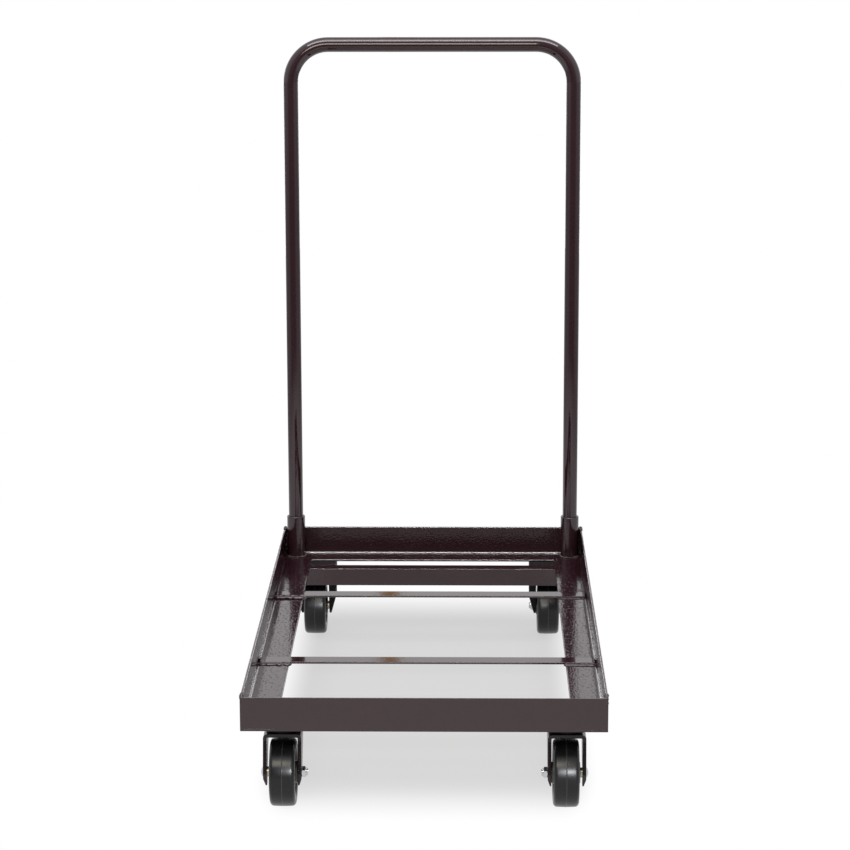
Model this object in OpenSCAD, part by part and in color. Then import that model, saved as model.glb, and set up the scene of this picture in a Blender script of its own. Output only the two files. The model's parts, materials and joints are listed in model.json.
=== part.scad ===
// Stacking chair trolley: a welded angle base on two swivel and two rigid casters,
// with a tubular push handle that lifts out of two corner sockets.
// The origin is on the floor below the middle of the base. The front end is at -Y,
// the handle at +Y.

/* [Base] */
// Width over the side rails
frame_w = 534; // [460:1:640]
// Length over the end rails
frame_l = 1000; // [850:5:1300]
// Leg of the rail angle
rail_leg = 50.8; // [46:0.1:60]
// Thickness of the rail angle and the cross angles
rail_t = 3.2; // [2.6:0.1:4.4]
// Root fillet of the angles
rail_fillet = 3.2; // [2:0.1:4.5]
// Rounding of the angles' toes
rail_toe = 1.6; // [0.5:0.1:2.2]

/* [Deck straps] */
// Width of a deck strap
strap_w = 28.6; // [20:0.1:50]
// Thickness of a deck strap
strap_t = 3.2; // [3:0.1:6]
// Edge rounding of a deck strap
strap_edge = 0.8; // [0.2:0.1:1.2]
// Distance between the straps' centre lines
strap_pitch = 381; // [250:1:480]
// How far the pair of straps sits behind the middle of the base
strap_shift = 25; // [-60:0.5:60]
// Space from a strap's end to the rail's root fillet
strap_end_gap = 0.6; // [0.2:0.1:5]

/* [Cross angles] */
// Level leg of a cross angle, which carries the caster plates
cross_leg = 25.4; // [18:0.1:32]
// Overall depth of a cross angle
cross_drop = 30; // [22:0.5:31]
// How far a cross angle's hanging leg runs on under the side rails
cross_tuck = 10; // [2:0.5:30]
// Space between a caster and the cross angle's root fillet
cross_play = 5.4; // [0.4:0.1:8]

/* [Push handle] */
// Overall height of the trolley
handle_h = 1057; // [700:1:1250]
// Diameter of the handle tube
tube_d = 25.4; // [22:0.1:28]
// Wall of the handle tube
tube_wall = 1.6; // [1.2:0.1:2.5]
// Centre-line radius of the handle's bends
bend_r = 65; // [50:1:100]
// Outer diameter of a socket
socket_d = 32; // [30:0.1:36]
// Height of a socket
socket_h = 73.8; // [50:0.1:120]
// Chamfer round a socket's mouth
socket_chamfer = 0.8; // [0.3:0.1:1.5]
// Clearance between the post and its socket, on the radius
socket_fit = 0.15; // [0.1:0.01:0.4]
// Space under a post, which lets it down on to the flange
post_seat = 0.3; // [0.1:0.05:0.5]

/* [Wheels] */
// Wheel diameter
wheel_d = 101.6; // [90:0.1:127]
// Tread width
wheel_w = 38; // [30:0.1:42]
// Rounding of the tread's shoulders
wheel_shoulder = 6; // [2:0.5:9]
// Inner radius of the wheel's rim
rim_in = 34; // [28:0.5:38]
// Thickness of the wheel's web
web_w = 20; // [12:0.5:26]
// Diameter of the hub boss
hub_d = 33; // [28:0.5:42]
// How far the hub stands out past the tread on each side
hub_proud = 2; // [0.5:0.1:4]
// Outer diameter of the plain bearing in the hub
bearing_d = 20; // [17:0.1:24]
// Clearance of a running fit, on the radius
run_fit = 0.05; // [0.02:0.01:0.1]

/* [Axles] */
// Diameter of the axle bolt
axle_d = 9.5; // [8:0.1:10.5]
// Outer diameter of the steel bush round the bolt
bush_d = 12.7; // [11.5:0.1:15]
// Thickness of the spacer between the hub and the leg on the bolt head's side
spacer_t = 3; // [1:0.1:5]
// Diameter of the spacer
spacer_d = 15; // [14:0.1:22]
// End play of the hub, on each side
side_play = 0.4; // [0.2:0.05:1]
// Diameter of the bolt's domed head
head_d = 17; // [14:0.1:20]
// Height of the bolt's domed head
head_h = 3.6; // [2:0.1:6]
// Width of the nut over its flats
nut_flats = 15; // [13:0.1:17]
// Height of the nut's hexagon
nut_h = 6; // [4:0.1:9]
// Height of the nut's lock collar
collar_h = 2; // [0.5:0.1:4]
// Bolt thread that shows past the nut
bolt_end = 1.2; // [0.2:0.1:4]

/* [Swivel casters] */
// Distance from a swivel axis to the outer face of its side rail
swivel_side = 57.5; // [50:0.5:70]
// Distance from a swivel axis to the front of the trolley
swivel_inset = 76; // [70:0.5:86]
// Trail of the wheel from the swivel axis
trail = 25; // [20:0.5:34]
// Thickness of the fork and its crown
fork_t = 5.4; // [3:0.1:6.5]
// Inside radius of the fork's bends
fork_bend = 1.6; // [0.5:0.1:6]
// Reach of the fork's crown ahead of the swivel axis
crown_front = 28; // [18:0.5:32]
// Reach of the fork's crown behind the swivel axis
crown_back = 18; // [15:0.5:24]
// Space between the wheel and the crown
crown_gap = 2.4; // [2:0.1:8]
// Width of a fork leg at the axle
leg_w = 28; // [24:0.5:34]
// Length of a fork leg below the axle
leg_tip = 19.8; // [14:0.1:24]
// Width of a fork leg's blunt tip
tip_w = 10; // [4:0.5:16]
// How far a fork leg thins towards its tip
tip_thin = 3.4; // [0:0.1:4]
// Height of the ball race between crown and plate
race_h = 17.4; // [14:0.1:26]
// Diameter of the ball race
race_d = 52; // [48:0.5:58]
// Height of the race's lower cup
cup_h = 6; // [5:0.1:8]
// Slot that shows between the lower and upper race
race_slot = 2; // [1:0.1:3]
// Radius of the circle that the balls run on
ball_path = 19; // [18.5:0.1:20.5]
// Ball diameter
ball_d = 7; // [6:0.1:7.2]
// Balls in a race
ball_count = 16; // [8:1:16]
// Clearance round a ball in its groove
ball_play = 0.1; // [0.05:0.01:0.2]
// Diameter of the king pin
king_d = 12.7; // [10:0.1:14]
// Diameter of the king pin's head
king_head_d = 18; // [15:0.1:22]
// Thickness of the king pin's head
king_head_h = 2.4; // [1.5:0.1:2.8]

/* [Caster plates] */
// Longer side of a caster plate
plate_l = 92; // [84:0.5:100]
// Shorter side of a caster plate
plate_w = 70; // [62:0.5:76]
// Thickness of a caster plate
plate_t = 3.2; // [2.6:0.1:5]
// Corner radius of a caster plate
plate_corner = 8; // [2:0.5:14]

/* [Rigid casters] */
// Distance from a rigid wheel's middle to the outer face of its side rail
rigid_side = 60; // [52:0.5:72]
// Distance from the rear axles to the rear of the trolley
rigid_inset = 56; // [50:0.5:60]
// Sheet thickness of the pressed bracket
bracket_t = 3; // [2:0.1:4]
// Radius of a bracket leg round the axle
bracket_r = 14; // [13:0.1:17]
// Slope of a bracket leg's edges from upright
bracket_flare = 17.5; // [10:0.5:20]
// How far the leg's turned edges stand out at the top
bracket_lip = 9; // [3:0.1:10]
// Height over the axle where the turned edges begin to taper away
lip_start = 20; // [10:0.5:40]

/* [Welds] */
// Leg of the upright bead in each corner of the base
corner_bead = 4; // [2:0.1:6]
// Leg of the beads beside the straps, the cross angles and the caster plates
edge_bead = 2.4; // [1.5:0.1:2.6]
// Length of a bead beside a strap's end
strap_bead_l = 30; // [15:1:40]
// Leg of the bead round a socket's foot
socket_bead = 3; // [1.5:0.1:5]
// Part of a socket's foot that is welded, in degrees
socket_bead_turn = 150; // [60:5:180]

/* [Hidden] */
$fn = 64;
spill = 1;

coat = "#4b3e41";
black_steel = "#232225";
black_rubber = "#1d1d20";
zinc = "#b9bcc0";
yellow_zinc = "#b7a873";
nylon = "#d8d5c8";

crown_low = wheel_d + crown_gap;
crown_top = crown_low + fork_t;
plate_low = crown_top + race_h;
base_h = plate_low + plate_t;
flange_top = base_h + rail_t;
rail_top = base_h + rail_leg;
axle_z = wheel_d / 2;

hub_w = wheel_w + 2 * hub_proud;
leg_in = (hub_w + spacer_t) / 2 + side_play;
leg_out = leg_in + fork_t;
web_out = leg_in + bracket_t;
king_bore = king_d + 2 * run_fit;
axle_bore = axle_d + 2 * run_fit;
bush_bore = bush_d + 2 * run_fit;

swivel_x = frame_w / 2 - swivel_side;
swivel_y = swivel_inset - frame_l / 2;
rigid_x = frame_w / 2 - rigid_side;
rigid_y = frame_l / 2 - rigid_inset;
fork_sweep = norm([leg_out, max(crown_front, crown_back)]);
front_reach = swivel_inset + max(plate_w / 2, fork_sweep);
rear_reach = rigid_inset + plate_l / 2;
front_cross_y = front_reach + cross_play + rail_fillet + rail_t - frame_l / 2;
rear_cross_y = frame_l / 2 - rear_reach - cross_play - rail_fillet - rail_t;
cross_len = frame_w - 2 * rail_leg + 2 * cross_tuck;

socket_inset = rail_t + rail_fillet + socket_d / 2;
post_x = frame_w / 2 - socket_inset;
post_y = frame_l / 2 - socket_inset;
post_foot = flange_top + post_seat;
bar_z = handle_h - tube_d / 2;

cup_top = crown_top + cup_h;
ball_z = cup_top + race_slot / 2;
front_strap_y = strap_shift - strap_pitch / 2;
rear_strap_y = strap_shift + strap_pitch / 2;
strap_l = frame_w - 2 * (rail_t + rail_fillet + strap_end_gap);

left = -1;
right = 1;
front = -1;
rear = 1;

// Children are drawn for the right side, and mirrored for the left one.
module on_side(side) {
  mirror([side == left ? 1 : 0, 0, 0]) children();
}

// Children are drawn for the front end, and mirrored for the rear one.
module on_end(end) {
  mirror([0, end == rear ? 1 : 0, 0]) children();
}

module at_swivel(side) {
  on_side(side) translate([swivel_x, swivel_y, 0]) children();
}

module at_front_axle(side) {
  at_swivel(side) translate([0, -trail, axle_z]) children();
}

module at_rigid(side) {
  on_side(side) translate([rigid_x, rigid_y, 0]) children();
}

module at_rear_axle(side) {
  at_rigid(side) translate([0, 0, axle_z]) children();
}

// Both rear bolts go in from the right, so the left set isn't mirrored.
module at_rear_set(side) {
  at_rear_axle(side) on_side(side) children();
}

// The spacer moves a hub towards the nut.
module at_hub() {
  translate([-spacer_t / 2, 0, 0]) children();
}

module at_socket(side) {
  on_side(side) translate([post_x, post_y, flange_top]) children();
}

// Turns a shape that stands along +Z to lie along +X.
module along_x() {
  rotate([0, 90, 0]) children();
}

// Draws a profile of Y and Z, and extrudes it along +X.
module sweep_x(length, center = false) {
  rotate([90, 0, 90]) linear_extrude(length, center = center) children();
}

// Draws a profile of X and Z, and extrudes it along Y, on both sides of zero.
module sweep_y(length) {
  rotate([90, 0, 0]) linear_extrude(length, center = true) children();
}

module corner_cut(radius) {
  difference() {
    square(radius + spill);
    circle(radius);
  }
}

module quarter_disc(radius) {
  intersection() {
    circle(radius);
    square(radius);
  }
}

// Angle section with its heel at the origin.
module angle_section(flange, upright, toe) {
  difference() {
    union() {
      square([flange, rail_t]);
      square([rail_t, upright]);
      square(rail_t + rail_fillet);
    }
    translate([rail_t + rail_fillet, rail_t + rail_fillet]) circle(rail_fillet);
    if (toe > 0) {
      translate([flange - toe, rail_t - toe]) corner_cut(toe);
      translate([rail_t - toe, upright - toe]) corner_cut(toe);
    }
  }
}

module rounded_bar(width, height, radius) {
  translate([-width / 2 + radius, 0]) square([width - 2 * radius, height]);
  translate([-width / 2, radius]) square([width, height - 2 * radius]);
  for (x = [-1, 1], y = [radius, height - radius])
    translate([x * (width / 2 - radius), y]) circle(radius);
}

module side_angle(side, toe) {
  on_side(side)
    translate([frame_w / 2, 0, base_h])
      mirror([1, 0, 0]) sweep_y(frame_l) angle_section(rail_leg, rail_leg, toe);
}

module both_side_angles() {
  side_angle(left, 0);
  side_angle(right, 0);
}

module side_rail(side) {
  color(coat) side_angle(side, rail_toe);
}

// An end rail is coped round the side rails, which run the full length.
module end_rail(end) {
  color(coat) difference() {
    on_end(end)
      translate([-frame_w / 2, -frame_l / 2, base_h])
        sweep_x(frame_w) angle_section(rail_leg, rail_leg, rail_toe);
    both_side_angles();
  }
}

module deck_strap(y) {
  color(coat)
    translate([-strap_l / 2, y, flange_top])
      sweep_x(strap_l) rounded_bar(strap_w, strap_t, strap_edge);
}

// Children are drawn from a cross angle's heel, with the near end of the base at -Y.
module at_heel(end) {
  translate([0, end == front ? front_cross_y : rear_cross_y, 0]) on_end(end) children();
}

// The level leg fits between the side flanges, the hanging leg runs on below them.
module cross_angle(end) {
  color(coat) difference() {
    at_heel(end)
      translate([-cross_len / 2, 0, flange_top])
        rotate([180, 0, 0])
          sweep_x(cross_len) angle_section(cross_leg, cross_drop, rail_toe);
    both_side_angles();
  }
}

module handle_socket(side) {
  color(coat) at_socket(side) difference() {
    union() {
      cylinder(d = socket_d, h = socket_h - socket_chamfer);
      translate([0, 0, socket_h - socket_chamfer])
        cylinder(d1 = socket_d, d2 = socket_d - 2 * socket_chamfer, h = socket_chamfer);
    }
    translate([0, 0, -spill])
      cylinder(d = tube_d + 2 * socket_fit, h = socket_h + 2 * spill);
  }
}

// One solid run round the whole handle, with its feet lengthened by a tail.
module handle_run(radius, tail) {
  bend_z = bar_z - bend_r;
  for (side = [left, right]) on_side(side) {
    translate([post_x, post_y, post_foot - tail])
      cylinder(r = radius, h = bend_z - post_foot + tail);
    translate([post_x - bend_r, post_y, bend_z])
      rotate([90, 0, 0])
        rotate_extrude(angle = 90) translate([bend_r, 0]) circle(radius);
  }
  translate([bend_r - post_x, post_y, bar_z])
    along_x() cylinder(r = radius, h = 2 * (post_x - bend_r));
}

module push_handle() {
  color(coat) difference() {
    handle_run(tube_d / 2, 0);
    handle_run(tube_d / 2 - tube_wall, spill);
  }
}

// Beads
module corner_welds() {
  foot = flange_top + rail_fillet;
  color(coat)
    for (side = [left, right], end = [front, rear])
      on_side(side) on_end(end)
        translate([frame_w / 2 - rail_t, rail_t - frame_l / 2, foot])
          mirror([1, 0, 0])
            linear_extrude(rail_top - rail_toe - foot) quarter_disc(corner_bead);
}

module strap_welds() {
  bead_x = frame_w / 2 - rail_leg + rail_toe;
  color(coat)
    for (side = [left, right], y = [front_strap_y, rear_strap_y], edge = [-1, 1])
      on_side(side)
        translate([bead_x, y, flange_top])
          mirror([0, edge < 0 ? 1 : 0, 0])
            translate([0, strap_w / 2, 0])
              sweep_x(strap_bead_l) quarter_disc(edge_bead);
}

module cross_welds() {
  color(coat)
    for (side = [left, right], end = [front, rear])
      on_side(side) at_heel(end)
        translate([frame_w / 2 - rail_leg, 0, base_h])
          mirror([0, 0, 1]) sweep_x(cross_tuck) quarter_disc(edge_bead);
}

module socket_welds() {
  color(coat)
    for (side = [left, right])
      at_socket(side)
        rotate([0, 0, 225 - socket_bead_turn / 2])
          rotate_extrude(angle = socket_bead_turn)
            translate([socket_d / 2, 0]) quarter_disc(socket_bead);
}

module plate_bead(x, length) {
  translate([x, 0, base_h])
    mirror([0, 0, 1]) sweep_y(length) quarter_disc(edge_bead);
}

module plate_welds() {
  color(coat)
    for (side = [left, right]) {
      at_swivel(side) plate_bead(plate_l / 2, plate_w - 2 * plate_corner);
      at_rigid(side) plate_bead(plate_w / 2, plate_l - 2 * plate_corner);
    }
}

// Casters
module caster_plate(size_x, size_y) {
  inner_x = size_x - 2 * plate_corner;
  inner_y = size_y - 2 * plate_corner;
  translate([0, 0, plate_low]) linear_extrude(plate_t) {
    square([size_x, inner_y], center = true);
    square([inner_x, size_y], center = true);
    for (x = [-1, 1], y = [-1, 1])
      translate([x * inner_x / 2, y * inner_y / 2]) circle(plate_corner);
  }
}

module ball_groove() {
  translate([0, 0, ball_z])
    rotate_extrude() translate([ball_path, 0]) circle(d = ball_d + 2 * ball_play);
}

module swivel_plate(side) {
  race_low = cup_top + race_slot;
  color(black_steel) at_swivel(side) difference() {
    union() {
      caster_plate(plate_l, plate_w);
      translate([0, 0, race_low]) cylinder(d = race_d, h = plate_low - race_low);
    }
    ball_groove();
    translate([0, 0, race_low - spill])
      cylinder(d = king_d, h = base_h - race_low + 2 * spill);
  }
}

module king_pin(side) {
  head_top = crown_low - 2 * run_fit;
  color(zinc) at_swivel(side) {
    translate([0, 0, head_top]) cylinder(d = king_d, h = base_h - head_top);
    translate([0, 0, head_top - king_head_h]) cylinder(d = king_head_d, h = king_head_h);
  }
}

module race_balls(side) {
  color(zinc) at_swivel(side)
    for (i = [0 : ball_count - 1])
      rotate([0, 0, i * 360 / ball_count])
        translate([ball_path, 0, ball_z]) sphere(d = ball_d);
}

module race_cup(side) {
  color(black_steel) at_swivel(side) difference() {
    translate([0, 0, crown_top]) cylinder(d = race_d, h = cup_h);
    ball_groove();
    translate([0, 0, crown_top - spill]) cylinder(d = king_bore, h = cup_h + 2 * spill);
  }
}

// Upright of a half width with two rounded upper corners.
module arch(half, low, top, radius) {
  translate([-half, low]) square([2 * half, top - radius - low]);
  translate([radius - half, low]) square([2 * (half - radius), top - low]);
  for (x = [-1, 1])
    translate([x * (half - radius), top - radius]) circle(radius);
}

// The legs thin from below the bolt's head to their tips.
module fork_outline() {
  low = axle_z - leg_tip;
  thin_top = axle_z - head_d / 2;
  difference() {
    arch(leg_out, low - spill, crown_top, fork_bend + fork_t);
    arch(leg_in, low - 2 * spill, crown_low, fork_bend);
    for (side = [left, right]) on_side(side)
      polygon([[leg_out, thin_top], [leg_out - tip_thin, low], [leg_out - tip_thin, low - 2 * spill],
               [leg_out + spill, low - 2 * spill], [leg_out + spill, thin_top]]);
  }
}

module fork_side() {
  low = axle_z - leg_tip;
  knee = crown_low - fork_t;
  polygon([
    [crown_back, crown_top + spill], [crown_back, knee],
    [leg_w / 2 - trail, axle_z], [tip_w / 2 - trail, low],
    [-tip_w / 2 - trail, low], [-leg_w / 2 - trail, axle_z],
    [-crown_front, knee], [-crown_front, crown_top + spill]
  ]);
}

module fork(side) {
  color(coat) difference() {
    at_swivel(side) intersection() {
      sweep_y(2 * (trail + leg_w + crown_front)) fork_outline();
      sweep_x(2 * (leg_out + spill), center = true) fork_side();
    }
    at_swivel(side) translate([0, 0, crown_low - spill])
      cylinder(d = king_bore, h = fork_t + 2 * spill);
    at_front_axle(side) along_x()
      cylinder(d = axle_bore, h = 2 * (leg_out + spill), center = true);
  }
}

// Bracket leg seen from the side, with a round foot and two straight flanks.
module leg_outline(radius) {
  foot_y = radius * cos(bracket_flare);
  foot_z = axle_z - radius * sin(bracket_flare);
  top_y = radius / cos(bracket_flare) + (plate_low - axle_z) * tan(bracket_flare);
  translate([0, axle_z]) circle(radius);
  polygon([[top_y, plate_low], [-top_y, plate_low], [-foot_y, foot_z], [foot_y, foot_z]]);
}

// What is trimmed off a leg's turned edges, so that they taper away to the foot.
module lip_trim() {
  low = axle_z - bracket_r - spill;
  full = web_out + bracket_lip;
  sweep_y(4 * bracket_r)
    polygon([[web_out, low], [web_out, low + spill], [full, axle_z + lip_start],
             [full + spill, axle_z + lip_start], [full + spill, low]]);
}

module bracket_leg() {
  difference() {
    translate([leg_in, 0, 0]) sweep_x(bracket_t + bracket_lip) leg_outline(bracket_r);
    translate([web_out, 0, 0]) sweep_x(bracket_lip + spill) leg_outline(bracket_r - bracket_t);
    lip_trim();
  }
}

module rigid_bracket(side) {
  color(black_steel) difference() {
    at_rigid(side) {
      caster_plate(plate_w, plate_l);
      bracket_leg();
      mirror([1, 0, 0]) bracket_leg();
    }
    at_rear_axle(side) along_x()
      cylinder(d = axle_bore, h = 2 * (web_out + spill), center = true);
  }
}

// Axle sets, drawn about the middle between the legs with the bolt's head at +X.
module axle_bolt(grip) {
  dome_r = (pow(head_d / 2, 2) + pow(head_h, 2)) / (2 * head_h);
  tail = nut_h + collar_h + bolt_end;
  color(zinc) along_x() {
    translate([0, 0, -grip - tail]) cylinder(d = axle_d, h = 2 * grip + tail);
    translate([0, 0, grip]) intersection() {
      cylinder(d = head_d, h = head_h + spill);
      translate([0, 0, head_h - dome_r]) sphere(dome_r);
    }
  }
}

module axle_nut(grip) {
  color(zinc)
    translate([-grip, 0, 0]) rotate([0, -90, 0]) difference() {
      union() {
        cylinder(d = nut_flats / cos(30), h = nut_h, $fn = 6);
        cylinder(d = (axle_d + nut_flats) / 2, h = nut_h + collar_h);
      }
      translate([0, 0, -spill]) cylinder(d = axle_d, h = nut_h + collar_h + 2 * spill);
    }
}

module axle_bush() {
  color(yellow_zinc) along_x() difference() {
    cylinder(d = bush_d, h = 2 * leg_in, center = true);
    cylinder(d = axle_bore, h = 2 * (leg_in + spill), center = true);
  }
}

module axle_spacer() {
  color(yellow_zinc)
    translate([leg_in - spacer_t, 0, 0]) along_x() difference() {
      cylinder(d = spacer_d, h = spacer_t);
      translate([0, 0, -spill]) cylinder(d = bush_bore, h = spacer_t + 2 * spill);
    }
}

module wheel_section() {
  radius = wheel_d / 2;
  bore = bearing_d / 2;
  translate([bore, -hub_w / 2]) square([hub_d / 2 - bore, hub_w]);
  translate([bore, -web_w / 2]) square([rim_in + spill - bore, web_w]);
  translate([rim_in, -wheel_w / 2]) square([radius - wheel_shoulder - rim_in, wheel_w]);
  translate([rim_in, wheel_shoulder - wheel_w / 2])
    square([radius - rim_in, wheel_w - 2 * wheel_shoulder]);
  for (end = [-1, 1])
    translate([radius - wheel_shoulder, end * (wheel_w / 2 - wheel_shoulder)])
      circle(wheel_shoulder);
}

module wheel() {
  color(black_rubber) along_x() rotate_extrude() wheel_section();
}

module wheel_bearing() {
  color(nylon) along_x() difference() {
    cylinder(d = bearing_d, h = hub_w, center = true);
    cylinder(d = bush_bore, h = hub_w + 2 * spill, center = true);
  }
}

side_rail(left);  // side_rail_left
side_rail(right);  // side_rail_right
end_rail(front);  // front_rail
end_rail(rear);  // rear_rail
deck_strap(front_strap_y);  // front_strap
deck_strap(rear_strap_y);  // rear_strap
cross_angle(front);  // front_cross_angle
cross_angle(rear);  // rear_cross_angle
handle_socket(left);  // handle_socket_left
handle_socket(right);  // handle_socket_right
corner_welds();
strap_welds();
cross_welds();
socket_welds();
plate_welds();
swivel_plate(left);  // swivel_plate_left
swivel_plate(right);  // swivel_plate_right
king_pin(left);  // king_pin_left
king_pin(right);  // king_pin_right
race_balls(left);  // race_balls_left
race_balls(right);  // race_balls_right
rigid_bracket(left);  // rigid_bracket_left
rigid_bracket(right);  // rigid_bracket_right
at_rear_set(left) axle_bolt(web_out);  // rear_bolt_left
at_rear_set(right) axle_bolt(web_out);  // rear_bolt_right
at_rear_set(left) axle_nut(web_out);  // rear_nut_left
at_rear_set(right) axle_nut(web_out);  // rear_nut_right
at_rear_set(left) axle_bush();  // rear_bush_left
at_rear_set(right) axle_bush();  // rear_bush_right
at_rear_set(left) axle_spacer();  // rear_spacer_left
at_rear_set(right) axle_spacer();  // rear_spacer_right
push_handle();
fork(left);  // fork_left
fork(right);  // fork_right
race_cup(left);  // race_cup_left
race_cup(right);  // race_cup_right
at_front_axle(left) axle_bolt(leg_out);  // front_bolt_left
at_front_axle(right) axle_bolt(leg_out);  // front_bolt_right
at_front_axle(left) axle_nut(leg_out);  // front_nut_left
at_front_axle(right) axle_nut(leg_out);  // front_nut_right
at_front_axle(left) axle_bush();  // front_bush_left
at_front_axle(right) axle_bush();  // front_bush_right
at_front_axle(left) axle_spacer();  // front_spacer_left
at_front_axle(right) axle_spacer();  // front_spacer_right
at_front_axle(left) at_hub() wheel();  // front_wheel_left
at_front_axle(right) at_hub() wheel();  // front_wheel_right
at_front_axle(left) at_hub() wheel_bearing();  // front_bearing_left
at_front_axle(right) at_hub() wheel_bearing();  // front_bearing_right
at_rear_set(left) at_hub() wheel();  // rear_wheel_left
at_rear_set(right) at_hub() wheel();  // rear_wheel_right
at_rear_set(left) at_hub() wheel_bearing();  // rear_bearing_left
at_rear_set(right) at_hub() wheel_bearing();  // rear_bearing_right
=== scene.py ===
import json
import math
import bmesh
import bpy
from mathutils import Matrix, Vector

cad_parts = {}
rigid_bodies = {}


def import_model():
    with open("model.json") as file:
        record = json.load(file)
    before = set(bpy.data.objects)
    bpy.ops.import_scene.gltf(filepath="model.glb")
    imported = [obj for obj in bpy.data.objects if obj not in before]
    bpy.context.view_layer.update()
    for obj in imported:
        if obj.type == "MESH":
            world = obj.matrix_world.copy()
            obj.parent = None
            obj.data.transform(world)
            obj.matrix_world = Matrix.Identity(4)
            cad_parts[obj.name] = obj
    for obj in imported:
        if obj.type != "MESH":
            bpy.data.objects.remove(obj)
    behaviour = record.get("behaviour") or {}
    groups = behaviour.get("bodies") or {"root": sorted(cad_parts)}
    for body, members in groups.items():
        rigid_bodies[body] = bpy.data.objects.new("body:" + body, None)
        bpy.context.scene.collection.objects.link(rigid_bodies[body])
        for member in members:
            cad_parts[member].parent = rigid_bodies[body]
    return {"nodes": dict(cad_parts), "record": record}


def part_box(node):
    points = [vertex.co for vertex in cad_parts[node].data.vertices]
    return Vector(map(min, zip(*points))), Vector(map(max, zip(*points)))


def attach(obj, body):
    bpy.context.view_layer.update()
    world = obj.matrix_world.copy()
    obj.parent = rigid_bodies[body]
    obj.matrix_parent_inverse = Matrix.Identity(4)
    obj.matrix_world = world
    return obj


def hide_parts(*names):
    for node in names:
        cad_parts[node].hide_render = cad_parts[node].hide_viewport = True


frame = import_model()
nodes = frame["nodes"]
scene = bpy.context.scene
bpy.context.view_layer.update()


# camera, fitted to the corners of the base and the handle in the photograph
cameraSetup = {
    "place": (0.0656, -4.3467, 1.4217),
    "pitch": 12.264,   # degrees below level
    "yaw": 0.940,      # degrees to the left
    "roll": -0.118,
    "lens": 117.78,    # mm
    "sensor": 36.0,    # mm
    "clipEnd": 200.0,
}


def addCamera(setup):
    data = bpy.data.cameras.new("photoCamera")
    data.sensor_width = setup["sensor"]
    data.lens = setup["lens"]
    data.clip_end = setup["clipEnd"]
    cam = bpy.data.objects.new("photoCamera", data)
    scene.collection.objects.link(cam)
    turn = Matrix.Rotation(math.radians(setup["yaw"]), 4, "Z")
    turn = turn @ Matrix.Rotation(math.radians(90 - setup["pitch"]), 4, "X")
    turn = turn @ Matrix.Rotation(math.radians(setup["roll"]), 4, "Z")
    cam.matrix_world = Matrix.Translation(setup["place"]) @ turn
    scene.camera = cam


addCamera(cameraSetup)
print("camera set")


# shader groups that several finishes share
def newGroup(name, inputs, outputs):
    group = bpy.data.node_groups.new(name, "ShaderNodeTree")
    for label, kind, value in inputs:
        socket = group.interface.new_socket(label, in_out="INPUT", socket_type=kind)
        socket.default_value = value
    for label, kind in outputs:
        group.interface.new_socket(label, in_out="OUTPUT", socket_type=kind)
    return group, group.nodes.new("NodeGroupInput"), group.nodes.new("NodeGroupOutput")


def addNode(tree, kind, **settings):
    node = tree.nodes.new(kind)
    for key, value in settings.items():
        if key in node.inputs:
            node.inputs[key].default_value = value
        else:
            setattr(node, key, value)
    return node


def mapValue(tree, source, low, high):
    node = addNode(tree, "ShaderNodeMapRange")
    tree.links.new(source, node.inputs["Value"])
    for key, value in (("To Min", low), ("To Max", high)):
        if isinstance(value, float):
            node.inputs[key].default_value = value
        else:
            tree.links.new(value, node.inputs[key])
    return node


def addRange(tree, start, end, low=0.0, high=1.0, curve="LINEAR"):
    node = addNode(tree, "ShaderNodeMapRange", interpolation_type=curve)
    for key, value in (("From Min", start), ("From Max", end), ("To Min", low), ("To Max", high)):
        node.inputs[key].default_value = value
    return node


peelSetup = {"crest": (0.60, 0.74)}                         # only the highest grains stand out as pimples
driftSetup = {"fleckShare": 0.4, "spread": (0.45, 0.95)}    # flecks against patches, and their contrast


def makePeelGroup(setup):
    group, source, target = newGroup(
        "coatPeel",
        [("Grain", "NodeSocketFloat", 420.0), ("Sag", "NodeSocketFloat", 60.0),
         ("Sag Share", "NodeSocketFloat", 0.4), ("Dots", "NodeSocketFloat", 0.0),
         ("Stretch", "NodeSocketVector", (1.0, 1.0, 1.0))],
        [("Height", "NodeSocketFloat")])
    place = addNode(group, "ShaderNodeTexCoord")
    drawn = addNode(group, "ShaderNodeVectorMath", operation="MULTIPLY")
    fine = addNode(group, "ShaderNodeTexNoise", Detail=1.5, Roughness=0.45)
    slow = addNode(group, "ShaderNodeTexNoise", Detail=1.0, Roughness=0.4)
    link = group.links.new
    link(place.outputs["Object"], drawn.inputs[0])
    link(source.outputs["Stretch"], drawn.inputs[1])
    link(drawn.outputs[0], fine.inputs["Vector"])
    link(drawn.outputs[0], slow.inputs["Vector"])
    link(source.outputs["Grain"], fine.inputs["Scale"])
    link(source.outputs["Sag"], slow.inputs["Scale"])
    both = addNode(group, "ShaderNodeMix", data_type="FLOAT")
    link(source.outputs["Sag Share"], both.inputs[0])
    link(fine.outputs["Fac"], both.inputs[2])
    link(slow.outputs["Fac"], both.inputs[3])
    crest = addRange(group, *setup["crest"], curve="SMOOTHSTEP")
    link(fine.outputs["Fac"], crest.inputs["Value"])
    height = addNode(group, "ShaderNodeMath", operation="MULTIPLY_ADD")
    link(crest.outputs[0], height.inputs[0])
    link(source.outputs["Dots"], height.inputs[1])
    link(both.outputs[0], height.inputs[2])
    link(height.outputs[0], target.inputs["Height"])
    return group


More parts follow.
